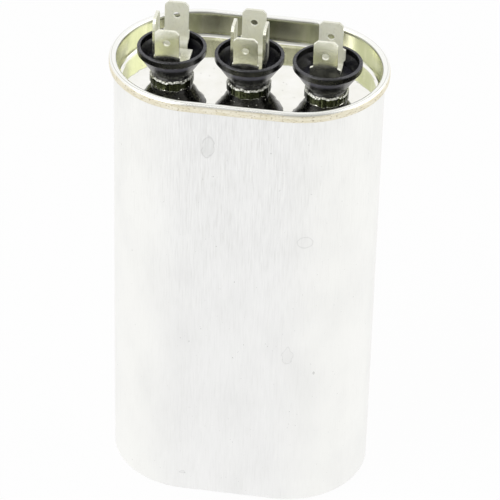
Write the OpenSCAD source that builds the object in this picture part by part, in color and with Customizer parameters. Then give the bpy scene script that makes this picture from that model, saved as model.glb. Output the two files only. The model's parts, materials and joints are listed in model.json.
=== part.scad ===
// Dual motor run capacitor in an oval drawn can, with three insulated terminals.
// Origin at the centre of the base, X along the long axis, Z up, millimetres.

/* [Can] */
// Length of the can body, across the long axis
can_length = 71.4; // [69:0.2:78]
// Depth of the can body, across the short axis
can_depth = 46; // [44:0.5:50]
// Height of the seam's top above the base
seam_top = 128; // [100:1:150]
// Thickness of the drawn aluminium
can_wall = 0.5; // [0.4:0.05:0.7]
// Outer radius of the can's bottom edge
can_corner = 1.2; // [0.9:0.1:2.5]

/* [Cover] */
// Thickness of the tinned steel sheet
cover_sheet = 0.36; // [0.28:0.02:0.45]
// Depth of the well below the seam's top
well_depth = 7.5; // [6.5:0.25:9]
// Inside radius between the well's wall and its deck
well_corner = 1.5; // [0.5:0.1:1.8]
// Height of the rolled seam
seam_height = 2.7; // [2.5:0.1:3.2]
// Gap between the folded layers of the seam
seam_gap = 0.02; // [0.01:0.01:0.04]
// Height of the collar raised round each terminal hole
collar_height = 1.4; // [0.8:0.1:1.8]
// Width of that collar's rim
collar_rim = 0.6; // [0.4:0.05:0.7]

/* [Terminal cups] */
// Distance from one terminal to the next
terminal_pitch = 20.6; // [20:0.1:22]
// Outer radius of a cup's lip
lip_radius = 9.15; // [9:0.05:9.5]
// Height of the lip above the deck
lip_height = 9.5; // [9.3:0.1:10.5]
// Height of the upright band round the lip
lip_band = 1.6; // [1.2:0.1:1.8]
// Thickness of the lip
lip_wall = 0.9; // [0.7:0.05:1]
// Depth of the cup from lip to floor
cup_depth = 4.2; // [4.1:0.05:4.6]
// Radius of the flat floor in the cup
floor_radius = 6.6; // [6.3:0.05:6.8]
// Radius of the neck below the cup's cone
neck_radius = 5.5; // [5.3:0.05:5.8]
// Height of the neck
neck_height = 1.1; // [0.9:0.1:1.4]
// Radius of the spigot that passes through the cover
spigot_radius = 4.6; // [4.2:0.1:4.7]

/* [Tabs] */
// Width of a push-on tab
tab_width = 6.35; // [6.2:0.05:6.4]
// Thickness of the tab strip
tab_sheet = 0.8; // [0.7:0.05:0.85]
// Height of the tab tips above the cup's lip
tab_reach = 8.9; // [8:0.1:10]
// Length of a tab from its tip to its shoulders
tab_blade = 8.1; // [7.6:0.1:8.6]
// Corner cut at a tab's tip
tab_corner = 1; // [0.6:0.1:1.4]
// Diameter of the detent hole
detent_bore = 1.9; // [1.6:0.1:2.2]
// Distance from the tip to the hole on the wide pair
wide_detent = 3.75; // [3.4:0.05:4.4]
// Distance from the tip to the hole on the side tabs and the fan pair
side_detent = 4.35; // [3.6:0.05:4.6]
// Width of the wide strip below its shoulders
wide_root = 6.9; // [6.6:0.1:7]
// Outward lean of the wide pair, in degrees
wide_lean = 3.5; // [0:0.5:5]
// Height of the wide strip's step above the cup's floor
step_height = 3; // [2.9:0.05:3.1]
// Distance between the middles of the side tabs
side_span = 8.4; // [8:0.1:9]
// Distance between the middles of the fan tabs
fan_span = 10; // [9:0.1:10.6]
// Width of the fan strip at its shoulders
fan_root = 8; // [7.4:0.1:8.2]
// Width of the fan strip where it lies on the cup's floor
fan_foot = 7; // [6.6:0.1:7.4]
// Length of the compressor side tab's foot past the rivet
foot_reach = 5; // [4:0.1:5.4]
// Inside radius of the bends in the strips
bend_radius = 0.5; // [0.4:0.05:0.55]

/* [Rivets and seals] */
// Radius of the rivet's shank
rivet_radius = 1.5; // [1.2:0.1:1.8]
// Radius of the rivet's head
head_radius = 2.3; // [2:0.1:2.6]
// Height of the rivet's head
head_height = 0.7; // [0.5:0.1:1]
// Thickness of the rubber seal under the cover
seal_sheet = 1.2; // [1:0.1:1.6]
// Outer radius of seal and bush
seal_radius = 7; // [6.4:0.1:7.6]
// Thickness of the inner bush
bush_height = 2; // [1.8:0.1:2.6]
// Radius of the rivet's clamping flange
flange_radius = 3.2; // [2.6:0.1:4]
// Thickness of that flange
flange_height = 1; // [0.8:0.1:1.4]
// Radial clearance between pieces pushed into each other
fit = 0.05; // [0.02:0.01:0.1]

/* [Pressure interrupter and leads] */
// Free length of the rivet between its flange and the plate
rivet_drop = 4.4; // [3:0.1:6]
// Thickness of the interrupter plate
plate_height = 1.6; // [1.2:0.1:2.4]
// Gap between the plate's edge and the can
plate_gap = 0.4; // [0.2:0.1:0.6]
// Height left for the leads between the plate and the winding
lead_room = 7.4; // [6:0.2:10]
// Width of a lead strap
lead_width = 4; // [3:0.2:5]
// Thickness of a lead strap
lead_sheet = 0.3; // [0.2:0.05:0.4]
// Length of a lead's foot on the sprayed metal
lead_foot = 6; // [5:0.5:7]

/* [Winding] */
// Space between the winding and the can's inner wall
winding_space = 2.5; // [2.4:0.1:3]
// Half the thickness of the flat core
core_radius = 0.8; // [0.6:0.1:1.2]
// Build of the fan section round the core
fan_build = 3.7; // [3.2:0.1:5]
// Build of plain film between the two sections
barrier_build = 0.5; // [0.3:0.1:0.8]
// Build of the outer wrap
wrap_build = 0.35; // [0.2:0.05:0.4]
// Thickness of the sprayed metal at the winding's ends
spray_height = 0.6; // [0.4:0.1:0.8]
// Margin between the sprayed metal and the edge of its section
spray_margin = 0.5; // [0.4:0.1:0.7]
// Thickness of the insulating cup's floor and the top insulator
insulator_sheet = 1; // [0.8:0.1:1.4]
// Thickness of the insulating cup's side wall
cup_side = 1.2; // [0.8:0.1:1.2]
// Height of the insulating cup's side wall
cup_side_height = 20; // [10:1:30]

/* [Hidden] */
$fn = 96;

// Obround body: two half rounds joined by a straight of this length
radius = can_depth / 2;
flat = can_length - can_depth;

// Radii of the seam's layers, from the well's wall outwards, each at mid thickness
well_mid = radius - can_wall - seam_gap - cover_sheet / 2;
can_mid = radius - can_wall / 2;
cover_hook_mid = radius + seam_gap + cover_sheet / 2;
can_hook_mid = radius + 2 * seam_gap + cover_sheet + can_wall / 2;
seam_mid = radius + 3 * seam_gap + 1.5 * cover_sheet + can_wall;
// Roll over the top, the can's flange inside it, and the curl below
roll_radius = seam_mid - cover_hook_mid;
flange_roll = can_hook_mid - cover_hook_mid;
curl_radius = seam_mid - can_hook_mid;
roll_z = seam_top - cover_sheet / 2 - roll_radius;
curl_z = seam_top - seam_height + cover_sheet / 2 + curl_radius;
hook_end = 0.1;
// Half the width of the compound's section, the widest square bar that fits in the curl
compound_half = (curl_radius - cover_sheet / 2 - seam_gap) * cos(45);

// Heights at the cover
deck_z = seam_top - well_depth;
under_z = deck_z - cover_sheet;
seat_z = deck_z + collar_height;
lip_z = deck_z + lip_height;
floor_z = lip_z - cup_depth;
hole_radius = spigot_radius + 2 * fit;

// Cup: upright lip band, then a cone down to the neck
lip_edge = 0.2;
band_z = lip_z - lip_band;
neck_z = seat_z + neck_height;
neck_taper = 0.2;
bowl_radius = lip_radius - lip_wall;
bowl_z = band_z - 0.1;

// Tab strips
tip_z = lip_z + tab_reach;
shoulder_z = tip_z - tab_blade;
bend_mid = bend_radius + tab_sheet / 2;
second_z = floor_z + tab_sheet;
step_z = floor_z + step_height;
riser_mid = tab_width / 2 + fit + bend_mid;
// Radius of the bowl's slope at the underside of the step, which the strip's corners have to clear
step_under = step_z - tab_sheet;
slope = min(1, (step_under - floor_z) / (bowl_z - floor_z));
step_room = floor_radius + (bowl_radius - floor_radius) * slope - fit;
wide_mid = sqrt(pow(step_room, 2) - pow(wide_root / 2, 2)) - tab_sheet / 2;

// Heights below the cover
bush_z = under_z - seal_sheet - bush_height;
spigot_z = under_z - seal_sheet - bush_height / 2;
flange_z = bush_z - flange_height;
plate_z = flange_z - rivet_drop - plate_height;
spray_top = plate_z - lead_room;
winding_top = spray_top - spray_height;
insulator_z = spray_top + lead_sheet;
base_spray_z = can_wall + insulator_sheet + lead_sheet;
winding_z = base_spray_z + spray_height;

// Radii of the winding and of what surrounds it
fan_radius = core_radius + fan_build;
barrier_radius = fan_radius + barrier_build;
winding_radius = radius - can_wall - winding_space;
wrap_radius = winding_radius + wrap_build;
strap_mid = wrap_radius + fit + lead_sheet / 2;
plate_radius = radius - can_wall - plate_gap;
rim_radius = strap_mid + lead_sheet / 2 + fit;
cup_side_radius = rim_radius + min(cup_side, plate_radius - rim_radius);
lead_bend = 1;
lead_overhang = rivet_radius + 1.1;
lead_slot = 0.3;
compressor_drop = -5;
fan_drop = flat / 2 + 0.5;

// Points of an arc about c, from angle a to angle b
function arc(c, r, a, b, n = 8) =
    [for (i = [0:n]) c + r * [cos(a + (b - a) * i / n), sin(a + (b - a) * i / n)]];

// Unit vector to the left of the step from p to q
function left(p, q) = [p[1] - q[1], q[0] - p[0]] / norm(q - p);

// Point i of a path, moved s to the left of it
function beside(path, i, s) =
    let (
        last = len(path) - 1,
        before = left(path[max(i - 1, 0)], path[max(i, 1)]),
        after = left(path[min(i, last - 1)], path[min(i + 1, last)])
    )
    path[i] + s * (before + after) / (1 + before * after);

// Outline of a sheet of thickness t whose middle follows a path
function sheet(path, t) = concat(
    [for (i = [0:len(path) - 1]) beside(path, i, t / 2)],
    [for (i = [len(path) - 1:-1:0]) beside(path, i, -t / 2)]
);

// A path and its mirror image, joined at the middle
function both_ways(path) = concat(
    [for (i = [len(path) - 1:-1:0]) [-path[i][0], path[i][1]]],
    path
);

// Sweeps a section, given as distance from the centre line and height, round the obround
module around() {
    for (side = [0, 180])
        rotate(side) {
            translate([flat / 2, 0, 0])
                rotate(-90)
                    rotate_extrude(angle = 180)
                        children();
            rotate([90, 0, -90])
                linear_extrude(flat, center = true)
                    children();
        }
}

// Obround slab or ring between two radii and two heights
module band(inner, outer, low, high) {
    around()
        translate([inner, low])
            square([outer - inner, high - low]);
}

// Round hole or shank along Z
module shank(r, low, high) {
    translate([0, 0, low])
        cylinder(r = r, h = high - low);
}

module compressor_place() {
    translate([-terminal_pitch, 0, 0]) children();
}

module fan_place() {
    translate([terminal_pitch, 0, 0]) children();
}

// ---- can and cover ----

// Drawn in one piece: base, wall, and the flange that is rolled into the seam
module can() {
    path = concat(
        [[0, can_wall / 2]],
        arc([radius - can_corner, can_corner], can_corner - can_wall / 2, -90, 0),
        arc([cover_hook_mid, roll_z], flange_roll, 180, 0),
        [[can_hook_mid, curl_z + hook_end]]
    );
    color([0.93, 0.935, 0.925])
        around()
            polygon(sheet(path, can_wall));
}

// Stamped lid: deck, well wall, and the seaming panel folded over and under the can's flange
module cover() {
    corner = well_corner + cover_sheet / 2;
    path = concat(
        [[0, deck_z - cover_sheet / 2]],
        arc([well_mid - corner, deck_z - cover_sheet / 2 + corner], corner, -90, 0),
        arc([cover_hook_mid, roll_z], roll_radius, 180, 0, 12),
        arc([can_hook_mid, curl_z], curl_radius, 0, -180),
        [[cover_hook_mid, roll_z - hook_end]]
    );
    color([0.86, 0.85, 0.74])
        difference() {
            union() {
                around()
                    polygon(sheet(path, cover_sheet));
                for (x = [-1:1])
                    translate([x * terminal_pitch, 0, 0])
                        shank(hole_radius + collar_rim, deck_z, seat_z);
            }
            for (x = [-1:1])
                translate([x * terminal_pitch, 0, 0])
                    shank(hole_radius, under_z - 1, seat_z + 1);
        }
}

// Sealing compound in the pocket under the end of the can's flange
module seam_compound() {
    color([0.55, 0.55, 0.5])
        around()
            translate([can_hook_mid - compound_half, curl_z - compound_half])
                square([2 * compound_half, compound_half + hook_end]);
}

// ---- terminal cups ----

// Moulded insulator: cup above the cover, neck on the collar, spigot through the hole
module cup() {
    outline = [
        [rivet_radius + fit, spigot_z],
        [spigot_radius, spigot_z],
        [spigot_radius, seat_z],
        [neck_radius - neck_taper, seat_z],
        [neck_radius, neck_z],
        [lip_radius - lip_edge, band_z - lip_edge],
        [lip_radius, band_z],
        [lip_radius, lip_z - lip_edge],
        [lip_radius - lip_edge, lip_z],
        [bowl_radius, lip_z],
        [bowl_radius, bowl_z],
        [floor_radius, floor_z],
        [rivet_radius + fit, floor_z]
    ];
    color([0.07, 0.07, 0.075])
        rotate_extrude()
            polygon(outline);
}

module compressor_cup() {
    compressor_place() cup();
}

module common_cup() {
    cup();
}

module fan_cup() {
    fan_place() cup();
}

// ---- tabs ----

// Front view of a strip that ends in two tabs: foot, root below the shoulders, blade
module tab_outline(foot, root) {
    half = [
        [foot / 2, floor_z - 1],
        [foot / 2, second_z + tab_sheet],
        [root / 2, second_z + tab_sheet + (root - foot) / 2],
        [root / 2, shoulder_z],
        [tab_width / 2, shoulder_z + (root - tab_width) / 4],
        [tab_width / 2, tip_z - tab_corner],
        [tab_width / 2 - tab_corner, tip_z]
    ];
    polygon(concat(half, [for (i = [len(half) - 1:-1:0]) [-half[i][0], half[i][1]]]));
}

// Strip bent along a path in the Y-Z plane, cut to the tab outline and pierced
module strip(path, foot, root, detent) {
    color([0.85, 0.83, 0.74])
        difference() {
            intersection() {
                rotate([90, 0, 90])
                    linear_extrude(max(foot, root) + 1, center = true)
                        polygon(sheet(path, tab_sheet));
                rotate([90, 0, 0])
                    linear_extrude(4 * lip_radius, center = true)
                        tab_outline(foot, root);
            }
            shank(rivet_radius + fit, floor_z - 1, second_z + 2 * tab_sheet);
            translate([0, 0, tip_z - detent])
                rotate([90, 0, 0])
                    cylinder(d = detent_bore, h = 4 * lip_radius, center = true);
        }
}

// Half of a plain U: flat foot at height z, then up at distance y
function riser(y, z) = concat(
    arc([y - bend_mid, z + bend_mid], bend_mid, -90, 0, 6),
    [[y, tip_z + 1]]
);

// Wide pair: up from the foot, out over a step, then up again with a slight lean
module wide_tabs() {
    foot_mid = floor_z + tab_sheet / 2;
    step_mid = step_z - tab_sheet / 2;
    root = [wide_mid - bend_mid, step_mid + bend_mid];
    lean_end = root + bend_mid * [cos(wide_lean), -sin(wide_lean)];
    rise = tip_z + 1 - lean_end[1];
    half = concat(
        arc([riser_mid - bend_mid, foot_mid + bend_mid], bend_mid, -90, 0, 6),
        arc([riser_mid + bend_mid, step_mid - bend_mid], bend_mid, 180, 90, 6),
        arc(root, bend_mid, -90, -wide_lean, 6),
        [lean_end + rise * [tan(wide_lean), 1]]
    );
    strip(both_ways(half), wide_root, wide_root, wide_detent);
}

module compressor_wide_tabs() {
    compressor_place() wide_tabs();
}

module common_wide_tabs() {
    wide_tabs();
}

// One side tab on a flat foot, laid over the wide strip
module compressor_side_tab() {
    path = concat(
        [[-foot_reach, second_z + tab_sheet / 2]],
        riser(side_span / 2, second_z + tab_sheet / 2)
    );
    compressor_place()
        rotate(90)
            strip(path, tab_width, tab_width, side_detent);
}

// Pair of side tabs, laid over the wide strip
module common_side_tabs() {
    rotate(90)
        strip(both_ways(riser(side_span / 2, second_z + tab_sheet / 2)), tab_width, tab_width, side_detent);
}

module fan_tabs() {
    fan_place()
        strip(both_ways(riser(fan_span / 2, floor_z + tab_sheet / 2)), fan_foot, fan_root, side_detent);
}

// ---- rivets, seals and bushes ----

// Rivet headed over the tab strips, flanged under the bush, with its tail in the plate
module rivet(head_z) {
    dome = arc([0, 0], 1, 0, 90, 6);
    outline = concat(
        [
            [0, plate_z],
            [rivet_radius, plate_z],
            [rivet_radius, flange_z],
            [flange_radius, flange_z],
            [flange_radius, bush_z],
            [rivet_radius, bush_z],
            [rivet_radius, head_z]
        ],
        [for (p = dome) [p[0] * head_radius, head_z + p[1] * head_height]]
    );
    color([0.88, 0.88, 0.84])
        rotate_extrude()
            polygon(outline);
}

module compressor_rivet() {
    compressor_place() rivet(second_z + tab_sheet);
}

module common_rivet() {
    rivet(second_z + tab_sheet);
}

module fan_rivet() {
    fan_place() rivet(second_z);
}

// Rubber washer squeezed between the cover and the bush
module seal() {
    color([0.16, 0.16, 0.17])
        difference() {
            shank(seal_radius, under_z - seal_sheet, under_z);
            shank(spigot_radius + fit, under_z - seal_sheet - 1, under_z + 1);
        }
}

module compressor_seal() {
    compressor_place() seal();
}

module common_seal() {
    seal();
}

module fan_seal() {
    fan_place() seal();
}

// Insulating bush, counterbored for the end of the spigot
module bush() {
    color([0.8, 0.78, 0.7])
        difference() {
            shank(seal_radius, bush_z, bush_z + bush_height);
            shank(rivet_radius + fit, bush_z - 1, bush_z + bush_height + 1);
            shank(spigot_radius + fit, spigot_z, bush_z + bush_height + 1);
        }
}

module compressor_bush() {
    compressor_place() bush();
}

module common_bush() {
    bush();
}

module fan_bush() {
    fan_place() bush();
}

// ---- pressure interrupter and leads ----

// Plate that holds the leads' ends while a bulging cover pulls the rivets away
module interrupter_plate() {
    color([0.62, 0.5, 0.32])
        difference() {
            band(0, plate_radius, plate_z, plate_z + plate_height);
            for (x = [-1:1])
                translate([x * terminal_pitch, 0, 0])
                    shank(rivet_radius + 3 * fit, plate_z - 1, plate_z + plate_height + 1);
        }
}

// Insulator over the winding, with a rim that carries the plate
module top_insulator() {
    slot = lead_width + 2 * lead_slot;
    run = lead_bend + 2 * lead_slot + lead_sheet;
    color([0.9, 0.9, 0.86])
        difference() {
            union() {
                band(0, plate_radius, insulator_z, insulator_z + insulator_sheet);
                band(rim_radius, plate_radius, insulator_z, plate_z);
            }
            translate([-terminal_pitch - slot / 2, compressor_drop - lead_bend - lead_slot, insulator_z - 1])
                cube([slot, run, insulator_sheet + 2]);
            translate([fan_drop - lead_bend - lead_slot, -slot / 2, insulator_z - 1])
                cube([run, slot, insulator_sheet + 2]);
            translate([-slot / 2, wrap_radius - lead_slot, insulator_z - 1])
                cube([slot, rim_radius - wrap_radius + lead_slot, insulator_sheet + 2]);
        }
}

// Strap bent along a path in the X-Z plane
module strap(path) {
    color([0.83, 0.72, 0.5])
        rotate([90, 0, 0])
            linear_extrude(lead_width, center = true)
                polygon(sheet(path, lead_sheet));
}

// Strap from under a rivet down to the sprayed metal: pad, drop and foot
function drop_path(start, drop) =
    let (pad_mid = plate_z - lead_sheet / 2, foot_mid = spray_top + lead_sheet / 2)
    concat(
        [[start, pad_mid]],
        arc([drop + lead_bend, pad_mid - lead_bend], lead_bend, 90, 180, 6),
        arc([drop - lead_bend, foot_mid + lead_bend], lead_bend, 0, -90, 6),
        [[drop - lead_foot, foot_mid]]
    );

module compressor_lead() {
    compressor_place()
        rotate(90)
            strap(drop_path(lead_overhang, compressor_drop));
}

module fan_lead() {
    strap(drop_path(terminal_pitch + lead_overhang, fan_drop));
}

// Strap from the middle rivet over the edge, down the side and under the winding
module common_lead() {
    pad_mid = plate_z - lead_sheet / 2;
    foot_mid = base_spray_z - lead_sheet / 2;
    path = concat(
        [[lead_overhang, pad_mid]],
        arc([lead_bend - strap_mid, pad_mid - lead_bend], lead_bend, 90, 180, 6),
        arc([lead_bend - strap_mid, foot_mid + lead_bend], lead_bend, 180, 270, 6),
        [[2 * lead_foot - strap_mid, foot_mid]]
    );
    rotate(-90)
        strap(path);
}

// ---- winding ----

module winding_core() {
    color([0.92, 0.92, 0.9])
        band(0, core_radius, winding_z, winding_top);
}

module fan_winding() {
    color([0.72, 0.73, 0.74])
        band(core_radius, fan_radius, winding_z, winding_top);
}

module section_barrier() {
    color([0.85, 0.87, 0.88])
        band(fan_radius, barrier_radius, winding_z, winding_top);
}

module main_winding() {
    color([0.7, 0.71, 0.72])
        band(barrier_radius, winding_radius, winding_z, winding_top);
}

module winding_wrap() {
    color([0.9, 0.86, 0.7])
        band(winding_radius, wrap_radius, winding_z, winding_top);
}

module compressor_spray() {
    color([0.6, 0.61, 0.62])
        band(barrier_radius + spray_margin, winding_radius - spray_margin, winding_top, spray_top);
}

module fan_spray() {
    color([0.6, 0.61, 0.62])
        band(0, fan_radius - spray_margin, winding_top, spray_top);
}

module common_spray() {
    color([0.6, 0.61, 0.62])
        band(0, winding_radius - spray_margin, base_spray_z, winding_z);
}

// Insulating cup that the winding stands in
module bottom_cup() {
    section = [
        [0, can_wall],
        [cup_side_radius - can_corner, can_wall],
        [cup_side_radius, can_wall + can_corner],
        [cup_side_radius, can_wall + cup_side_height],
        [rim_radius, can_wall + cup_side_height],
        [rim_radius, can_wall + insulator_sheet],
        [0, can_wall + insulator_sheet]
    ];
    color([0.93, 0.93, 0.9])
        around()
            polygon(section);
}

can();
cover();
seam_compound();
compressor_cup();
common_cup();
fan_cup();
compressor_wide_tabs();
compressor_side_tab();
common_wide_tabs();
common_side_tabs();
fan_tabs();
compressor_rivet();
common_rivet();
fan_rivet();
compressor_seal();
common_seal();
fan_seal();
compressor_bush();
common_bush();
fan_bush();
interrupter_plate();
compressor_lead();
common_lead();
fan_lead();
top_insulator();
winding_core();
fan_winding();
section_barrier();
main_winding();
winding_wrap();
compressor_spray();
fan_spray();
common_spray();
bottom_cup();
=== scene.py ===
# %% [markdown]
# # A dual motor run capacitor
#
# This lesson dresses a finished engineering model of a motor run capacitor: an oval drawn can, a tinned
# cover rolled onto it, and three black cups that carry push-on tabs. The model's solids are already right
# in shape and size, so the work here is the finish of every surface, plus the small things that a maker
# never draws: the crimped, ragged edge of the metal round each neck and the dust that settles on the
# cover.

import json
import math

import bpy
from mathutils import Matrix, Vector


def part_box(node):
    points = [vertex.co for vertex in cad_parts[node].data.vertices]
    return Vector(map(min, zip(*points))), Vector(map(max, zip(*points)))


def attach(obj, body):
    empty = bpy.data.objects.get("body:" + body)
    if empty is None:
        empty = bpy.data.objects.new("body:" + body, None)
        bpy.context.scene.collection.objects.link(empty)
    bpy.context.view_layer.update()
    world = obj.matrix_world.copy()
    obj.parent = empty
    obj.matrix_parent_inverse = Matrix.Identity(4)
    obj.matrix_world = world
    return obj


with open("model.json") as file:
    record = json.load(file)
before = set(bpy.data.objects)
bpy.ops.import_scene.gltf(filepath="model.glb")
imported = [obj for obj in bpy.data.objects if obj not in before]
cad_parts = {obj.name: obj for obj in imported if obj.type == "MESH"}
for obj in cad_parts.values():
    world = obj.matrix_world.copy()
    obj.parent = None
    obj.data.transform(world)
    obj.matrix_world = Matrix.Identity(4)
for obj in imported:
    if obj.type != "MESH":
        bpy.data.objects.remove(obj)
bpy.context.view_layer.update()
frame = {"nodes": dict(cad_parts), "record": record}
scene = bpy.context.scene
mm = 0.001

# %% [markdown]
# ## Sizes
#
# Everything below takes its place from the model. The can is an obround: two half rounds joined by a
# straight, and the straight's length is what is left of the cover's length after its width. The deck is
# the floor of the well in which the cups stand, one sheet of tinplate above the rubber seals. The well's
# wall stands inside the rolled seam, so its radius is the seam's radius less the seam's width.

# %% Sizes taken from the model
cover_sheet = 0.36 * mm
seam_width = 2.14 * mm
cover_low, cover_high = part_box("cover")
straight = (cover_high.x - cover_low.x) - (cover_high.y - cover_low.y)
seam_radius = cover_high.y
wall_radius = seam_radius - seam_width
seam_top = cover_high.z
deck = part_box("common_seal")[1].z + cover_sheet
pitch = sum(corner.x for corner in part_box("fan_cup")) / 2
lip_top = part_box("common_cup")[1].z
print("straight", straight, "seam top", seam_top, "deck", deck, "pitch", pitch)

# %% [markdown]
# ## The camera
#
# A long lens from a little to the right and 35 degrees above looks into the well without spreading the
# can's sides. The camera's three axes are worked out from its turn and its tilt, and then the small roll
# is added.

# %% Camera
turn, tilt, roll = math.radians(8.32), math.radians(35.12), math.radians(-1.44)
distance = 0.8871
focal_length = 233.05
step_right, step_up = 1.63 * mm, 10.05 * mm
aim = Vector((0, 0, 0.055))
level = Vector((math.cos(turn), math.sin(turn), 0))
ahead = Vector((-math.sin(turn), math.cos(turn), 0))
rise = Vector((0, 0, 1))
forward = math.cos(tilt) * ahead - math.sin(tilt) * rise
above = math.sin(tilt) * ahead + math.cos(tilt) * rise
right = math.cos(roll) * level - math.sin(roll) * above
up = math.sin(roll) * level + math.cos(roll) * above

camera = bpy.data.objects.new("camera", bpy.data.cameras.new("camera"))
scene.collection.objects.link(camera)
scene.camera = camera
camera.data.lens = focal_length
camera.data.clip_start = 0.05
stand = aim + step_right * right + step_up * up - distance * forward
turned = Matrix((right, up, -forward)).transposed().to_4x4()
camera.matrix_world = Matrix.Translation(stand) @ turned
print("camera at", camera.matrix_world.translation)

# %% [markdown]
# ## Calls used all through
#
# A node tree is easier to read when adding a node, giving its inputs and joining it to others is one
# call. The same call serves for materials and for Geometry Nodes. Colours are written as they look on a
# screen, from 0 to 255, and turned into the linear values that a render works in.

# %% Helpers for node trees
def put(tree, kind, inputs=None, **settings):
    """Adds a node. Inputs are constants or other nodes' outputs, by the input's name or number."""
    node = tree.nodes.new(kind)
    for key, value in settings.items():
        setattr(node, key, value)
    for key, value in (inputs or {}).items():
        if isinstance(value, bpy.types.NodeSocket):
            tree.links.new(value, node.inputs[key])
        else:
            node.inputs[key].default_value = value
    return node


def tone(red, green, blue):
    """A screen colour as linear RGBA."""
    linear = [((c / 255 + 0.055) / 1.055) ** 2.4 if c > 10 else c / 255 / 12.92 for c in (red, green, blue)]
    return (*linear, 1)


def maths(tree, operation, *values):
    """A Math node's result. More than two values are taken in turn, as in a sum or a product."""
    result = put(tree, "ShaderNodeMath", dict(enumerate(values[:2])), operation=operation).outputs[0]
    for value in values[2:]:
        result = put(tree, "ShaderNodeMath", {0: result, 1: value}, operation=operation).outputs[0]
    return result


def span(tree, value, low, high, start=0.0, end=1.0, smooth=False):
    """Maps low..high onto start..end, held at the ends."""
    inputs = {"Value": value, "From Min": low, "From Max": high, "To Min": start, "To Max": end}
    kind = "SMOOTHSTEP" if smooth else "LINEAR"
    return put(tree, "ShaderNodeMapRange", inputs, interpolation_type=kind).outputs["Result"]


def band(tree, value, start, full, fade, end):
    """1 between full and fade, and 0 before start and past end."""
    return maths(tree, "MULTIPLY", span(tree, value, start, full), span(tree, value, fade, end, 1, 0))


def blend(tree, amount, first, second):
    """A colour between two others."""
    node = put(tree, "ShaderNodeMix", data_type="RGBA")
    for socket, value in zip((node.inputs[0], node.inputs[6], node.inputs[7]), (amount, first, second)):
        if isinstance(value, bpy.types.NodeSocket):
            tree.links.new(value, socket)
        else:
            socket.default_value = value
    return node.outputs[2]


def along_axis(tree, place, axis):
    """How far a place lies along X, Y or Z, which are numbered 0, 1 and 2."""
    return put(tree, "ShaderNodeSeparateXYZ", {0: place}).outputs[axis]


def vector_maths(tree, operation, result, *values):
    """A Vector Math node's result, "Vector" or "Value"."""
    return put(tree, "ShaderNodeVectorMath", dict(enumerate(values)), operation=operation).outputs[result]


print("a screen grey of 128 is", round(tone(128, 128, 128)[0], 3), "in a render's light")


# %% Helpers for materials
def new_finish(name, metallic=0.0, roughness=0.4):
    """A material, its tree, its shader and the place on the object, in metres."""
    material = bpy.data.materials.new(name)
    material.use_nodes = True
    tree = material.node_tree
    shader = tree.nodes["Principled BSDF"]
    shader.inputs["Metallic"].default_value = metallic
    shader.inputs["Roughness"].default_value = roughness
    place = put(tree, "ShaderNodeTexCoord").outputs["Object"]
    return material, tree, shader, place


def facing_up(tree):
    """1 on a surface that looks straight up, 0 on a wall and -1 on an underside."""
    return along_axis(tree, put(tree, "ShaderNodeNewGeometry").outputs["Normal"], 2)


def grain(tree, place, size, detail=2.0, stretch=(1, 1, 1), shift=(0, 0, 0)):
    """Noise whose blotches are about `size` metres across, drawn out along an axis by a small stretch."""
    moved = put(tree, "ShaderNodeMapping", {"Vector": place, "Location": shift, "Scale": stretch})
    inputs = {"Vector": moved.outputs[0], "Scale": 1 / size, "Detail": detail}
    return put(tree, "ShaderNodeTexNoise", inputs).outputs[0]


def relief(tree, shader, height, depth):
    """Bump of a given depth in metres, from a height between 0 and 1."""
    bump = put(tree, "ShaderNodeBump", {"Height": height, "Distance": depth, "Strength": 1.0})
    tree.links.new(bump.outputs["Normal"], shader.inputs["Normal"])


def paint(tree, shader, colour, roughness=None):
    """Joins a colour and a roughness to the shader."""
    tree.links.new(colour, shader.inputs["Base Color"])
    if roughness is not None:
        tree.links.new(roughness, shader.inputs["Roughness"])


def oval(tree, place):
    """Distance from the obround's middle line, and height: what a sweep round the can is measured by."""
    parts = put(tree, "ShaderNodeSeparateXYZ", {0: place})
    beyond = maths(tree, "SUBTRACT", maths(tree, "ABSOLUTE", parts.outputs[0]), straight / 2)
    past = maths(tree, "MAXIMUM", beyond, 0)
    flat_place = put(tree, "ShaderNodeCombineXYZ", {0: past, 1: parts.outputs[1]}).outputs[0]
    return vector_maths(tree, "LENGTH", "Value", flat_place), parts.outputs[2]


def spot(tree, place, centre, size, ragged):
    """Distance from a point, 1 at the edge of an oval of half sizes `size`, with a ragged outline."""
    local = vector_maths(tree, "SUBTRACT", "Vector", place, centre)
    scaled = vector_maths(tree, "MULTIPLY", "Vector", local, [1 / s for s in size])
    reach = vector_maths(tree, "LENGTH", "Value", scaled)
    wander = grain(tree, place, 2.5 * mm, 3)
    return maths(tree, "ADD", reach, span(tree, wander, 0.3, 0.7, -ragged, ragged))


finishes = {}
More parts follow.
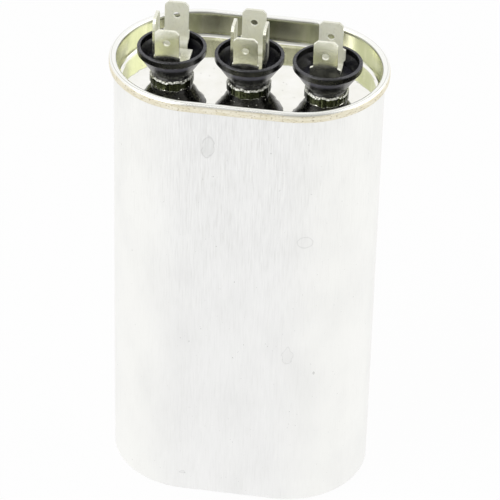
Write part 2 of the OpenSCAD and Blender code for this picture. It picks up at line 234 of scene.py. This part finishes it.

# %% [markdown]
# ## Drawn aluminium
#
# The can is pressed from a disc and drawn through a die, which leaves fine lines up its sides. It could
# be given an anisotropic shader, but the lines on a real can are long, soft and uneven, so noise that is
# squeezed across and drawn out along the height makes both the colour and the bump. The lines fade toward
# the base and toward the round ends. Handling leaves faint marks: the dried edges of drops of oil, and
# specks. The flat faces are a little greyer than the round ends.

# %% Finish: drawn aluminium
def drawn_aluminium():
    material, tree, shader, place = new_finish("drawn_aluminium", metallic=1.0)
    flange_reach = 0.9 * mm
    mark_depth = 6 * mm
    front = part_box("can")[0].y + flange_reach
    side = maths(tree, "ABSOLUTE", along_axis(tree, place, 0))
    height = along_axis(tree, place, 2)
    lines = grain(tree, place, 0.34 * mm, 3, (1, 1, 0.07))
    fine = grain(tree, place, 0.25 * mm, 2, (1, 1, 0.15), (3, 1, 2))
    clouds = grain(tree, place, 12 * mm, 5, (1, 1, 0.6))
    flatness = span(tree, side, 10 * mm, 27 * mm, 1, 0, smooth=True)

    colour = blend(tree, flatness, tone(252, 252, 249), tone(246, 246, 245))
    colour = blend(tree, span(tree, clouds, 0.4, 0.75, 0, 0.4), colour, tone(236, 236, 235))
    strength_up = span(tree, height, 55 * mm, 118 * mm, 0.45, 1.2)
    drawn = maths(tree, "MULTIPLY", strength_up, span(tree, flatness, 0, 1, 0.4, 1))
    darker = maths(tree, "MULTIPLY", drawn, span(tree, lines, 0.5, 0.75, 0, 0.45))
    colour = blend(tree, darker, colour, tone(222, 222, 219))
    paler = maths(tree, "MULTIPLY", drawn, span(tree, lines, 0.3, 0.45, 0.5, 0))
    colour = blend(tree, paler, colour, tone(255, 255, 253))

    def mark(colour, x, z, wide, tall, edge, inside, ragged):
        """The dried outline of a drop: a thin dark ring, and a duller face inside it."""
        reach = spot(tree, place, (x * mm, front, z * mm), (wide * mm, mark_depth, tall * mm), ragged)
        dull = maths(tree, "MULTIPLY", span(tree, reach, 0.9, 1.0, 1, 0), inside)
        ring = maths(tree, "MULTIPLY", band(tree, reach, 0.86, 0.97, 1.0, 1.12), edge)
        colour = blend(tree, dull, colour, tone(196, 197, 194))
        return blend(tree, ring, colour, tone(140, 141, 138))

    # Place and half sizes in millimetres, then the strengths of ring and face, and how ragged the ring is.
    for numbers in ((-6.9, 114.6, 1.6, 3.5, 0.24, 0.14, 0.35), (19.1, 87.4, 2.0, 1.8, 0.16, 0.02, 0.12),
                    (15.6, 50.0, 1.3, 2.4, 0.14, 0.05, 0.5), (22.6, 44.0, 0.3, 0.5, 0.6, 0.5, 0.3),
                    (-12.6, 6.3, 1.0, 0.6, 0.25, 0.15, 0.4)):
        colour = mark(colour, *numbers)

    specks = grain(tree, place, 0.45 * mm, 1, (1, 1, 0.7), (7, 3, 5))
    rare = grain(tree, place, 6 * mm, 2, (1, 1, 1), (2, 9, 4))
    dirt = maths(tree, "MULTIPLY", span(tree, specks, 0.76, 0.8), span(tree, rare, 0.45, 0.6), 0.55)
    colour = blend(tree, dirt, colour, tone(120, 120, 116))
    paint(tree, shader, colour, span(tree, clouds, 0.3, 0.7, 0.34, 0.44))
    bumps = maths(tree, "ADD", maths(tree, "MULTIPLY", lines, 0.6), maths(tree, "MULTIPLY", fine, 0.4))
    relief(tree, shader, bumps, 0.014 * mm)
    return material


finishes["can"] = drawn_aluminium()
print("drawn aluminium: lines along the height, oil marks and specks")

# %% [markdown]
# ## Tinned steel
#
# The cover is tinplate: a mirror on the deck, a slightly soft mirror on the well's wall, and a duller
# cream where the seaming rolls pressed and rubbed it. One material serves the whole sheet. It measures
# how far a point is from the obround's middle line and how high it is, and picks the deck, the wall and
# the rim by those two numbers. The rolled band outside the seam's shoulder is picked by which way the
# surface faces, and so are two fine grey lines of painted shade at the shoulder's folds. Tin is slightly
# yellow. The wall is painted a darker yellow-green than the deck, with blotchy blocks and darker streaks:
# a painted reflection of the light that bounces between wall and deck. Its left end is painted darkest,
# as painted shade, and a thin line of painted shade lies in the crease at the top of the wall.

# %% Finish: tinned steel
def tinplate():
    material, tree, shader, place = new_finish("tinplate", metallic=1.0)
    radius, height = oval(tree, place)
    facing = facing_up(tree)
    ripple = grain(tree, place, 5 * mm, 2)
    streaks = grain(tree, place, 0.5 * mm, 3, (1, 1, 0.08))
    blocks = grain(tree, place, 4.5 * mm, 2, (1, 1, 0.2), (8, 1, 1))
    along = grain(tree, place, 1.3 * mm, 3, (0.4, 0.4, 2.5), (4, 4, 4))
    specks = grain(tree, place, 0.5 * mm, 2, (0.7, 0.7, 1.4), (1, 5, 2))

    deck_colour = blend(tree, span(tree, ripple, 0.3, 0.7), tone(250, 249, 245), tone(243, 242, 235))
    # Painted reflection: the wall is painted a darker yellow-green than the deck, with blotchy blocks and
    # darker streaks, for the light that bounces between wall and deck.
    painted_wall_reflection = blend(tree, span(tree, blocks, 0.4, 0.62), tone(231, 231, 200), tone(205, 209, 168))
    painted_wall_reflection = blend(tree, span(tree, streaks, 0.5, 0.75, 0, 0.35), painted_wall_reflection, tone(184, 187, 146))
    # Painted shade: the wall's left end is painted darker.
    left_end_shade = span(tree, along_axis(tree, place, 0), -31 * mm, -22 * mm, 0.35, 0)
    painted_wall_reflection = blend(tree, left_end_shade, painted_wall_reflection, tone(158, 160, 118))
    on_wall = span(tree, radius, wall_radius - 0.5 * mm, wall_radius - 0.05 * mm)
    colour = blend(tree, on_wall, deck_colour, painted_wall_reflection)

    on_rim = maths(tree, "MULTIPLY", span(tree, radius, wall_radius, wall_radius + 0.25 * mm),
                   span(tree, height, seam_top - 1.4 * mm, seam_top - 0.8 * mm))
    colour = blend(tree, on_rim, colour, tone(250, 250, 246))
    shoulder = span(tree, radius, seam_radius - 1.0 * mm, seam_radius - 0.9 * mm)
    # Painted shade: two fine grey lines are painted where the seam's shoulder bends, picked by which way
    # the surface faces.
    fold_edges = ((0.6, 0.66, 0.4), (0.7, 0.76, -0.4), (0.88, 0.9, 0.28), (0.93, 0.95, -0.28))
    fold_shade_lines = maths(tree, "ADD", *(span(tree, facing, low, high, 0, step) for low, high, step in fold_edges))
    colour = blend(tree, maths(tree, "MULTIPLY", fold_shade_lines, shoulder), colour, tone(150, 152, 132))
    rolled = blend(tree, span(tree, along, 0.35, 0.7), tone(248, 243, 226), tone(233, 225, 198))
    rolled = blend(tree, span(tree, specks, 0.58, 0.66, 0, 0.55), rolled, tone(150, 135, 100))
    on_band = maths(tree, "MULTIPLY", shoulder, span(tree, facing, 0.5, 0.62, 1, 0))
    colour = blend(tree, on_band, colour, rolled)

    # Painted shade: a thin dark line is painted in the crease where the wall meets the seam's top.
    crease_shade = band(tree, radius, wall_radius - 0.02 * mm, wall_radius + 0.08 * mm,
                  wall_radius + 0.2 * mm, wall_radius + 0.34 * mm)
    high_up = span(tree, height, seam_top - 0.8 * mm, seam_top - 0.5 * mm)
    colour = blend(tree, maths(tree, "MULTIPLY", crease_shade, high_up, 0.7), colour, tone(140, 142, 122))

    rough = maths(tree, "ADD", span(tree, ripple, 0.3, 0.7, 0.03, 0.07), span(tree, on_wall, 0, 1, 0, 0.2),
                  span(tree, on_band, 0, 1, 0, 0.22))
    paint(tree, shader, colour, rough)
    relief(tree, shader, maths(tree, "ADD", ripple, maths(tree, "MULTIPLY", streaks, 0.03)), 0.05 * mm)
    return material


finishes["cover"] = tinplate()
print("tinplate: deck, wall, rim and rolled band in one material")

# %% [markdown]
# ## Black cups
#
# The cups are moulded in a mineral-filled black compound. It is never one black: the skin has a faint
# mould texture, and the lip's top is rubbed grey by connectors and carries a painted highlight. Faces that
# look up are painted a paler, bluish grey: painted sky light, with a thin film of dust. Just under the lip,
# where the cone looks down at the bright deck, a paler band is painted: a painted highlight. White specks
# are rare.

# %% Finish: black moulding compound
def moulded_black():
    material, tree, shader, place = new_finish("moulded_black")
    shader.inputs["IOR"].default_value = 1.52
    height = along_axis(tree, place, 2)
    facing = facing_up(tree)
    skin = grain(tree, place, 0.35 * mm, 3)
    clouds = grain(tree, place, 4 * mm, 3)
    specks = grain(tree, place, 0.28 * mm, 1, (1, 1, 1), (5, 2, 8))
    colour = blend(tree, span(tree, clouds, 0.3, 0.7), tone(9, 9, 10), tone(18, 18, 20))
    # Painted sky light, with a thin film of dust: faces that look up are painted a paler, bluish grey.
    colour = blend(tree, span(tree, facing, 0.3, 0.9, 0, 0.6), colour, tone(40, 40, 50))
    # Painted highlight: a paler band is painted on the cone just under the lip, where it looks down at the
    # bright deck.
    below_lip = band(tree, height, lip_top - 4.0 * mm, lip_top - 2.9 * mm, lip_top - 2.0 * mm,
                     lip_top - 1.8 * mm)
    cone_highlight = maths(tree, "MULTIPLY", below_lip, span(tree, facing, -0.5, -0.2, 1, 0), 0.8)
    colour = blend(tree, cone_highlight, colour, tone(112, 112, 126))
    # The lip's top is rubbed grey by connectors and painted with a highlight.
    rubbed_and_highlight = maths(tree, "MULTIPLY", span(tree, height, lip_top - 0.25 * mm, lip_top),
                   span(tree, skin, 0.35, 0.65), 0.6)
    colour = blend(tree, rubbed_and_highlight, colour, tone(92, 92, 96))
    colour = blend(tree, span(tree, specks, 0.79, 0.83, 0, 0.75), colour, tone(190, 190, 186))
    paint(tree, shader, colour, span(tree, clouds, 0.3, 0.7, 0.2, 0.3))
    relief(tree, shader, skin, 0.008 * mm)
    return material


finishes["cup"] = moulded_black()
print("moulded black: mould skin, rubbed lip and dust")

# %% [markdown]
# ## Tinned brass tabs
#
# The strips are blanked from brass, tinned and bent. Rolling leaves a fine grain along the strip, and
# handling leaves soft cloudy patches and small pits. The tin is warm grey, paler than brass. Toward the
# back the tabs are given less metal and more of a plain pale skin, so they show brighter: painted light.

# %% Finish: tinned brass
def tinned_brass():
    material, tree, shader, place = new_finish("tinned_brass", metallic=1.0)
    clouds = grain(tree, place, 2.2 * mm, 4)
    rolling = grain(tree, place, 0.16 * mm, 2, (1, 1, 0.12))
    pits = grain(tree, place, 0.3 * mm, 2, (1, 1, 1), (6, 6, 1))
    colour = blend(tree, span(tree, clouds, 0.3, 0.72), tone(252, 252, 240), tone(238, 238, 220))
    colour = blend(tree, span(tree, rolling, 0.5, 0.75, 0, 0.3), colour, tone(212, 211, 190))
    colour = blend(tree, span(tree, pits, 0.58, 0.68, 0, 0.32), colour, tone(150, 144, 124))
    paint(tree, shader, colour, span(tree, clouds, 0.3, 0.7, 0.18, 0.26))
    # Painted light: toward the back the tabs get less metal, so their pale skin shows brighter; cloudy
    # patches add a little more at random.
    lit_toward_back = span(tree, along_axis(tree, place, 1), -1.5 * mm, 2.5 * mm, 0.0, 0.85)
    painted_light_and_clouds = maths(tree, "ADD", lit_toward_back, span(tree, clouds, 0.4, 0.7, 0.02, 0.12))
    tree.links.new(maths(tree, "SUBTRACT", 1.0, painted_light_and_clouds), shader.inputs["Metallic"])
    relief(tree, shader, maths(tree, "ADD", rolling, pits), 0.005 * mm)
    return material


finishes["tab"] = tinned_brass()
print("tinned brass: rolling grain and clouded tin")

# %% [markdown]
# ## Small metal pieces
#
# Rivets, lead straps and the zinc sprayed on the winding's ends differ in colour, in how coarse their
# surface is and in how it shines. One function makes all three from those few values, as a plater's card
# would.

# %% Finish: plated and sprayed metals
def small_metal(name, light, dark, size, roughness, depth, stretch=(1, 1, 1)):
    material, tree, shader, place = new_finish(name, metallic=1.0)
    coarse = grain(tree, place, size, 4, stretch)
    fine = grain(tree, place, size / 5, 2, stretch, (2, 7, 1))
    colour = blend(tree, span(tree, coarse, 0.3, 0.7), light, dark)
    paint(tree, shader, colour, span(tree, fine, 0.3, 0.7, roughness, roughness + 0.15))
    relief(tree, shader, maths(tree, "ADD", coarse, maths(tree, "MULTIPLY", fine, 0.4)), depth)
    return material


finishes["rivet"] = small_metal("tinned_rivet", tone(232, 231, 224), tone(196, 193, 180), 1.2 * mm, 0.25,
                                0.02 * mm)
finishes["lead"] = small_metal("tinned_copper", tone(222, 200, 160), tone(190, 160, 118), 1.5 * mm, 0.25,
                               0.01 * mm, (1, 1, 0.2))
finishes["spray"] = small_metal("sprayed_zinc", tone(166, 168, 170), tone(118, 120, 123), 0.8 * mm, 0.55,
                                0.12 * mm)
print("plated and sprayed metals:", [finishes[slot].name for slot in ("rivet", "lead", "spray")])

# %% [markdown]
# ## Insulators, rubber and board
#
# The pieces that keep metal apart are dull plastics, rubber and a laminated board. Again one function
# serves: two near tones that drift into each other, a speckle for fillers and fibres, and a depth for the
# surface.

# %% Finish: plastics, rubber and board
def insulating(name, light, dark, speckle, amount, size, roughness, depth, stretch=(1, 1, 1)):
    material, tree, shader, place = new_finish(name)
    drift = grain(tree, place, 9 * mm, 3)
    fibres = grain(tree, place, size, 3, stretch, (3, 3, 3))
    colour = blend(tree, span(tree, drift, 0.3, 0.7), light, dark)
    colour = blend(tree, span(tree, fibres, 0.55, 0.72, 0, amount), colour, speckle)
    paint(tree, shader, colour, span(tree, fibres, 0.3, 0.7, roughness - 0.06, roughness + 0.06))
    relief(tree, shader, fibres, depth)
    return material


finishes["insulator"] = insulating("natural_polypropylene", tone(238, 238, 232), tone(226, 226, 218),
                                   tone(204, 204, 196), 0.3, 0.9 * mm, 0.45, 0.01 * mm)
finishes["bush"] = insulating("filled_nylon", tone(212, 206, 186), tone(196, 189, 168),
                              tone(160, 152, 130), 0.6, 0.4 * mm, 0.5, 0.015 * mm)
finishes["board"] = insulating("laminated_board", tone(172, 136, 88), tone(150, 114, 70),
                               tone(112, 82, 48), 0.7, 0.5 * mm, 0.6, 0.02 * mm, (0.15, 1, 1))
finishes["seal"] = insulating("seal_rubber", tone(42, 42, 44), tone(34, 34, 36),
                              tone(70, 70, 72), 0.4, 0.3 * mm, 0.7, 0.01 * mm)
finishes["compound"] = insulating("sealing_compound", tone(142, 142, 130), tone(124, 124, 112),
                                  tone(96, 96, 86), 0.5, 0.5 * mm, 0.75, 0.02 * mm)
finishes["wrap"] = insulating("film_wrap", tone(232, 222, 184), tone(222, 210, 168),
                              tone(244, 238, 212), 0.5, 1.2 * mm, 0.22, 0.02 * mm, (1, 1, 0.1))
insulators = ("insulator", "bush", "board", "seal", "compound", "wrap")
print("insulating pieces:", [finishes[slot].name for slot in insulators])

# %% [markdown]
# ## Wound film
#
# Thousands of turns of metallised film show at the winding's ends as fine rings that follow the obround.
# The distance from the middle line is the same number that the tinplate used, so a sine of it draws the
# rings, and a slow noise lets them wander.

# %% Finish: wound film
def wound_film():
    material, tree, shader, place = new_finish("wound_film", metallic=0.6)
    waves_per_metre = 12000
    radius = oval(tree, place)[0]
    wander = grain(tree, place, 6 * mm, 2)
    wandering = maths(tree, "ADD", radius, maths(tree, "MULTIPLY", wander, 0.4 * mm))
    turns = maths(tree, "SINE", maths(tree, "MULTIPLY", wandering, waves_per_metre))
    colour = blend(tree, span(tree, turns, -1, 1), tone(196, 198, 202), tone(160, 163, 168))
    paint(tree, shader, colour, span(tree, wander, 0.3, 0.7, 0.28, 0.42))
    relief(tree, shader, turns, 0.02 * mm)
    return material


finishes["film"] = wound_film()
print("wound film: rings about half a millimetre apart")

# %% [markdown]
# ## Give every node its finish
#
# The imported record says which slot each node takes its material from, so the list isn't written twice.

# %% Assign the finishes
slot_of = {part["node"]: part["material_slot"] for part in frame["record"]["subparts"]}
for name, obj in frame["nodes"].items():
    for material_slot in obj.material_slots:
        material_slot.material = finishes[slot_of[name]]
print("finished nodes:", len(slot_of))

# %% [markdown]
# ## Growing pieces with Geometry Nodes
#
# Two small things follow a rule and repeat, so they are grown by node trees. A tree has named inputs for
# its sizes and a seed. After it has run, the result is kept as a plain mesh and the modifier is taken
# off, so what is handed on is ordinary geometry.

# %% Helpers for Geometry Nodes
def new_tree(title, inputs):
    """A tree with the given number inputs, and each input's identifier."""
    tree = bpy.data.node_groups.new(title, "GeometryNodeTree")
    ids = {}
    for name, kind in inputs.items():
        ids[name] = tree.interface.new_socket(name=name, in_out="INPUT", socket_type=kind).identifier
    tree.interface.new_socket(name="Geometry", in_out="OUTPUT", socket_type="NodeSocketGeometry")
    given = tree.nodes.new("NodeGroupInput").outputs
    return tree, ids, given


def position(tree):
    """Each point's own place, split into X, Y and Z."""
    place = put(tree, "GeometryNodeInputPosition").outputs[0]
    return put(tree, "ShaderNodeSeparateXYZ", {0: place}).outputs


def random_vector(tree, low, high, seed):
    """A random vector for each point, between two corners."""
    inputs = {0: low, 1: high, "Seed": seed}
    return put(tree, "FunctionNodeRandomValue", inputs, data_type="FLOAT_VECTOR").outputs[0]


def scatter(tree, points, radius, spins, sizes, seed):
    """Puts a rough little stone at each point, turned and stretched at random between two corners."""
    stone = put(tree, "GeometryNodeMeshIcoSphere", {"Radius": radius, "Subdivisions": 1}).outputs[0]
    inputs = {"Points": points, "Instance": stone, "Rotation": random_vector(tree, *spins, seed),
              "Scale": random_vector(tree, *sizes, seed)}
    return put(tree, "GeometryNodeInstanceOnPoints", inputs).outputs[0]


def finish_tree(tree, geometry, material):
    """Realizes the instances, gives the material and joins the result to the output."""
    real = put(tree, "GeometryNodeRealizeInstances", {0: geometry}).outputs[0]
    dressed = put(tree, "GeometryNodeSetMaterial", {"Geometry": real, "Material": material}).outputs[0]
    tree.links.new(dressed, tree.nodes.new("NodeGroupOutput").inputs[0])


def grow(title, tree, ids, values):
    """Runs a tree and keeps its result as a plain mesh that rides on the root body."""
    piece = bpy.data.objects.new(title, bpy.data.meshes.new(title + "_start"))
    scene.collection.objects.link(piece)
    modifier = piece.modifiers.new("grow", "NODES")
    modifier.node_group = tree
    for name, value in values.items():
        modifier[ids[name]] = value
    bpy.context.view_layer.update()
    mesh = bpy.data.meshes.new_from_object(piece.evaluated_get(bpy.context.evaluated_depsgraph_get()))
    piece.modifiers.remove(modifier)
    piece.data = mesh
    mesh.name = title
    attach(piece, "root")
    print(title, "faces:", len(mesh.polygons))


print("to be grown: three crimped edges and the dust on the deck")

# %% [markdown]
# ## The crimped edges
#
# Each hole in the cover has a collar of metal that is forced up round the cup's neck. The tool tears its
# edge, so a ragged ring stands round each neck. A grid is rolled into a tube: its X runs round the neck
# and its Y up the ring. Noise read at the rolled place has no seam, and it lowers the top edge unevenly.
# The top leans in toward the neck. The tube is then thickened by an extrusion, and slivers of torn metal
# are scattered along its top. Only the leaning top, which faces up, is painted bright: a painted highlight.
# The rest is dark olive and mirrors the dark cups.

# %% Crimped edge: material
def torn_tin():
    material, tree, shader, place = new_finish("torn_tin", metallic=1.0)
    coarse = grain(tree, place, 0.5 * mm, 4)
    body = blend(tree, span(tree, coarse, 0.35, 0.65), tone(66, 70, 48), tone(22, 25, 15))
    ragged_height = maths(tree, "ADD", along_axis(tree, place, 2),
                          span(tree, coarse, 0.3, 0.7, -0.4 * mm, 0.4 * mm))
    # Painted highlight: only the leaning top that faces up is painted bright and less metallic, so the deck
    # mirrors it dark.
    edge = maths(tree, "MULTIPLY", span(tree, ragged_height, deck + 0.6 * mm, deck + 0.9 * mm),
                 span(tree, facing_up(tree), 0.3, 0.55), span(tree, coarse, 0.36, 0.5, 0.15, 1))
    metal = maths(tree, "SUBTRACT", 1.0, maths(tree, "MULTIPLY", edge, 0.8))
    tree.links.new(metal, shader.inputs["Metallic"])
    colour = blend(tree, edge, body, tone(246, 246, 238))
    paint(tree, shader, colour, span(tree, coarse, 0.3, 0.7, 0.12, 0.3))
    relief(tree, shader, coarse, 0.06 * mm)
    return material


torn_metal = torn_tin()
print("torn tin: bright where it leans in, dark olive below")


# %% Crimped edge: the tree
def crimp_tree(material):
    steps_round, steps_up = 180, 4
    sliver_count, sliver_radius = 30, 0.12 * mm
    weld = 0.001 * mm
    sizes = ("Centre", "Radius", "Wall", "Foot", "Height", "Torn", "Seed")
    tree, ids, given = new_tree("crimped edge", {name: "NodeSocketFloat" for name in sizes})
    grid = {"Size X": 1.0, "Size Y": 1.0, "Vertices X": steps_round + 1, "Vertices Y": steps_up + 1}
    sheet = put(tree, "GeometryNodeMeshGrid", grid).outputs[0]
    here = position(tree)
    angle = maths(tree, "MULTIPLY", here[0], 2 * math.pi)
    level_up = maths(tree, "ADD", here[1], 0.5)
    round_x, round_y = maths(tree, "COSINE", angle), maths(tree, "SINE", angle)
    ring_place = put(tree, "ShaderNodeCombineXYZ", {0: round_x, 1: round_y, 2: given["Seed"]}).outputs[0]
    tears = put(tree, "ShaderNodeTexNoise", {"Vector": ring_place, "Scale": 3.2, "Detail": 4.0}).outputs[0]
    waves = put(tree, "ShaderNodeTexNoise", {"Vector": ring_place, "Scale": 7.0, "Detail": 2.0}).outputs[0]
    lost = maths(tree, "MULTIPLY", span(tree, tears, 0.35, 0.65), given["Torn"])
    tall = maths(tree, "SUBTRACT", given["Height"], lost)
    swell = span(tree, waves, 0.3, 0.7, 0.3 * mm, 0.5 * mm)
    lean = maths(tree, "MULTIPLY", span(tree, level_up, 0.75, 1),
                 span(tree, tears, 0.3, 0.65, 0.5 * mm, 0.3 * mm))
    radius = maths(tree, "SUBTRACT", maths(tree, "ADD", given["Radius"], swell), lean)
    east = maths(tree, "ADD", maths(tree, "MULTIPLY", round_x, radius), given["Centre"])
    north = maths(tree, "MULTIPLY", round_y, radius)
    top = maths(tree, "ADD", given["Foot"], maths(tree, "MULTIPLY", level_up, tall))
    rolled = put(tree, "ShaderNodeCombineXYZ", {0: east, 1: north, 2: top}).outputs[0]
    tube = put(tree, "GeometryNodeSetPosition", {"Geometry": sheet, "Position": rolled}).outputs[0]
    tube = put(tree, "GeometryNodeMergeByDistance", {"Geometry": tube, "Distance": weld}).outputs[0]
    thick = {"Mesh": tube, "Offset Scale": given["Wall"], "Individual": False}
    outer = put(tree, "GeometryNodeExtrudeMesh", thick).outputs[0]
    inner = put(tree, "GeometryNodeFlipFaces", {0: tube}).outputs[0]

    circle_inputs = {"Vertices": sliver_count, "Radius": given["Radius"]}
    circle = put(tree, "GeometryNodeMeshCircle", circle_inputs).outputs[0]
    near_top = maths(tree, "ADD", given["Foot"], maths(tree, "MULTIPLY", given["Height"], 0.8))
    raised = put(tree, "ShaderNodeCombineXYZ", {0: given["Centre"], 2: near_top}).outputs[0]
    circle = put(tree, "GeometryNodeTransform", {"Geometry": circle, "Translation": raised}).outputs[0]
    seed = put(tree, "FunctionNodeFloatToInt", {0: maths(tree, "MULTIPLY", given["Seed"], 10)}).outputs[0]
    slivers = scatter(tree, circle, sliver_radius, ((-0.6, -0.6, 0), (0.6, 0.6, 6.28)),
                      ((0.6, 0.6, 0.6), (1.6, 1.6, 3.4)), seed)

    joined = put(tree, "GeometryNodeJoinGeometry")
    for geometry in (outer, inner, slivers):
        tree.links.new(geometry, joined.inputs[0])
    ring_inputs = {"Geometry": joined.outputs[0], "Distance": weld}
    ring = put(tree, "GeometryNodeMergeByDistance", ring_inputs).outputs[0]
    finish_tree(tree, ring, material)
    return tree, ids


crimp, crimp_ids = crimp_tree(torn_metal)
print("crimped edge:", len(crimp.nodes), "nodes, inputs", list(crimp_ids))

# %% Crimped edge: one round each neck
crimp_sizes = {"Radius": 5.3 * mm, "Wall": 0.1 * mm, "Foot": deck, "Height": 1.65 * mm, "Torn": 0.7 * mm}
for title, centre, seed in (("compressor_crimp", -pitch, 1.3), ("common_crimp", 0.0, 4.1),
                            ("fan_crimp", pitch, 7.7)):
    grow(title, crimp, crimp_ids, {**crimp_sizes, "Centre": centre, "Seed": seed})

# %% [markdown]
# ## Dust
#
# Pale flecks lie scattered over the deck. A tree scatters points over a plate that just covers the deck,
# throws away those under the necks or beyond the well, and puts a flattened grain on each of the rest.

# %% Dust: material
def pale_dust():
    material, tree, shader, place = new_finish("pale_dust", roughness=0.8)
    drift = grain(tree, place, 3 * mm, 2)
    paint(tree, shader, blend(tree, span(tree, drift, 0.3, 0.7), tone(236, 235, 230), tone(205, 203, 194)))
    return material


dust_material = pale_dust()
print("dust: two pale tones that drift into each other")


# %% Dust: the tree
def dust_tree(material):
    fleck_radius = 0.12 * mm
    sizes = ("Length", "Width", "Level", "Pitch", "Neck", "Count")
    kinds = {**{name: "NodeSocketFloat" for name in sizes}, "Seed": "NodeSocketInt"}
    tree, ids, given = new_tree("dust", kinds)
    plate_size = {"Size X": given["Length"], "Size Y": given["Width"]}
    plate = put(tree, "GeometryNodeMeshGrid", plate_size).outputs[0]
    lift = put(tree, "ShaderNodeCombineXYZ", {2: given["Level"]}).outputs[0]
    plate = put(tree, "GeometryNodeTransform", {"Geometry": plate, "Translation": lift}).outputs[0]
    area = maths(tree, "MULTIPLY", given["Length"], given["Width"])
    density = maths(tree, "DIVIDE", given["Count"], area)
    scattered = {"Mesh": plate, "Density": density, "Seed": given["Seed"]}
    points = put(tree, "GeometryNodeDistributePointsOnFaces", scattered).outputs[0]
    here = position(tree)
    side = maths(tree, "ABSOLUTE", here[0])

    def reach(along):
        """Distance across the deck from a point this far along it."""
        flat_place = put(tree, "ShaderNodeCombineXYZ", {0: along, 1: here[1]}).outputs[0]
        return vector_maths(tree, "LENGTH", "Value", flat_place)

    past = maths(tree, "MAXIMUM", maths(tree, "SUBTRACT", side, straight / 2), 0)
    outside = maths(tree, "GREATER_THAN", reach(past), maths(tree, "MULTIPLY", given["Width"], 0.5))
    to_neck = maths(tree, "MINIMUM", reach(side), reach(maths(tree, "SUBTRACT", side, given["Pitch"])))
    under = maths(tree, "LESS_THAN", to_neck, given["Neck"])
    lost = {"Geometry": points, "Selection": maths(tree, "MAXIMUM", outside, under)}
    points = put(tree, "GeometryNodeDeleteGeometry", lost, domain="POINT").outputs[0]
    flecks = scatter(tree, points, fleck_radius, ((0, 0, 0), (0, 0, 6.28)),
                     ((0.4, 0.3, 0.2), (1.9, 1.1, 0.6)), given["Seed"])
    finish_tree(tree, flecks, material)
    return tree, ids


dust, dust_ids = dust_tree(dust_material)
print("dust:", len(dust.nodes), "nodes, inputs", list(dust_ids))

# %% Dust: on the deck
clear_of_seam = 3.2 * mm
well_width = 2 * (seam_radius - clear_of_seam)
dust_sizes = {"Length": straight + well_width, "Width": well_width, "Level": deck, "Pitch": pitch,
              "Neck": 5.7 * mm, "Count": 170.0, "Seed": 5}
grow("deck_dust", dust, dust_ids, dust_sizes)

# %% [markdown]
# ## Floor
#
# The floor is a plain white sheet. To the camera and to metal it looks nearly as white as paper, by a
# share of its own glow, while the rest of it is an ordinary surface that keeps the shadow.

# %% Floor
white = (1, 1, 1, 1)


def seen_rays(tree):
    """1 for what is looked at, straight or in a mirror, and 0 for what only gives light."""
    rays = put(tree, "ShaderNodeLightPath").outputs
    kinds = ("Is Camera Ray", "Is Glossy Ray", "Is Transmission Ray")
    return maths(tree, "MAXIMUM", *(rays[kind] for kind in kinds))


def white_floor():
    glow_share = 0.95
    material = bpy.data.materials.new("white_floor")
    material.use_nodes = True
    tree = material.node_tree
    tree.nodes.clear()
    share = maths(tree, "MULTIPLY", seen_rays(tree), glow_share)
    paper = put(tree, "ShaderNodeBsdfDiffuse", {"Color": (0.9, 0.9, 0.9, 1)}).outputs[0]
    glow = put(tree, "ShaderNodeEmission", {"Color": white, "Strength": 1.0}).outputs[0]
    mixed = put(tree, "ShaderNodeMixShader", {0: share, 1: paper, 2: glow}).outputs[0]
    put(tree, "ShaderNodeOutputMaterial", {"Surface": mixed})
    return material


half = 3.0
floor_mesh = bpy.data.meshes.new("floor")
corners = [(-half, -half, 0), (half, -half, 0), (half, half, 0), (-half, half, 0)]
floor_mesh.from_pydata(corners, [], [(0, 1, 2, 3)])
floor = bpy.data.objects.new("floor", floor_mesh)
scene.collection.objects.link(floor)
floor_mesh.materials.append(white_floor())
print("floor:", 2 * half, "m across")

# %% [markdown]
# ## Lamps
#
# Two large soft lamps light the pieces: the stronger from the front left, the weaker from the right and a
# little behind. Together with the sky they bring a surface to about the level at which its colour looks
# as it is written.

# %% Lamps
def lamp(name, place, target, size, power):
    """A square lamp that faces its target."""
    light = bpy.data.lights.new(name, "AREA")
    light.size = size
    light.energy = power
    obj = bpy.data.objects.new(name, light)
    scene.collection.objects.link(obj)
    turned_to = (Vector(target) - Vector(place)).to_track_quat("-Z", "Y")
    obj.matrix_world = Matrix.Translation(place) @ turned_to.to_matrix().to_4x4()
    print(name, place, power)


middle = (0, 0, 0.07)
lamp_size = 1.2
lamp("key_lamp", (-0.9, -0.7, 1.3), middle, lamp_size, 9.0)
lamp("fill_lamp", (1.2, 0.3, 0.9), middle, lamp_size, 4.0)

# %% [markdown]
# ## Sky
#
# An even sky fills the shadows. Where it is seen or mirrored the studio is white, except on the viewer's
# side, where a darker room gives the tinplate its depth.

# %% Sky
def studio_sky(even_strength):
    world = bpy.data.worlds.new("studio")
    world.use_nodes = True
    tree = world.node_tree
    tree.nodes.clear()
    way = put(tree, "ShaderNodeTexCoord").outputs["Generated"]
    toward_viewer = vector_maths(tree, "DOT_PRODUCT", "Value", way, -forward)
    dark_room = span(tree, toward_viewer, 0.45, 0.95, smooth=True)
    mirrored = blend(tree, dark_room, white, (0.45, 0.45, 0.44, 1))
    even = put(tree, "ShaderNodeBackground", {"Color": white, "Strength": even_strength}).outputs[0]
    shown = put(tree, "ShaderNodeBackground", {"Color": mirrored, "Strength": 1.0}).outputs[0]
    mixed = put(tree, "ShaderNodeMixShader", {0: seen_rays(tree), 1: even, 2: shown}).outputs[0]
    put(tree, "ShaderNodeOutputWorld", {"Surface": mixed})
    return world


even_strength = 0.62
scene.world = studio_sky(even_strength)
scene.view_settings.view_transform = "Standard"
print("studio: even sky", even_strength, "and white in reflections but for the viewer's side")
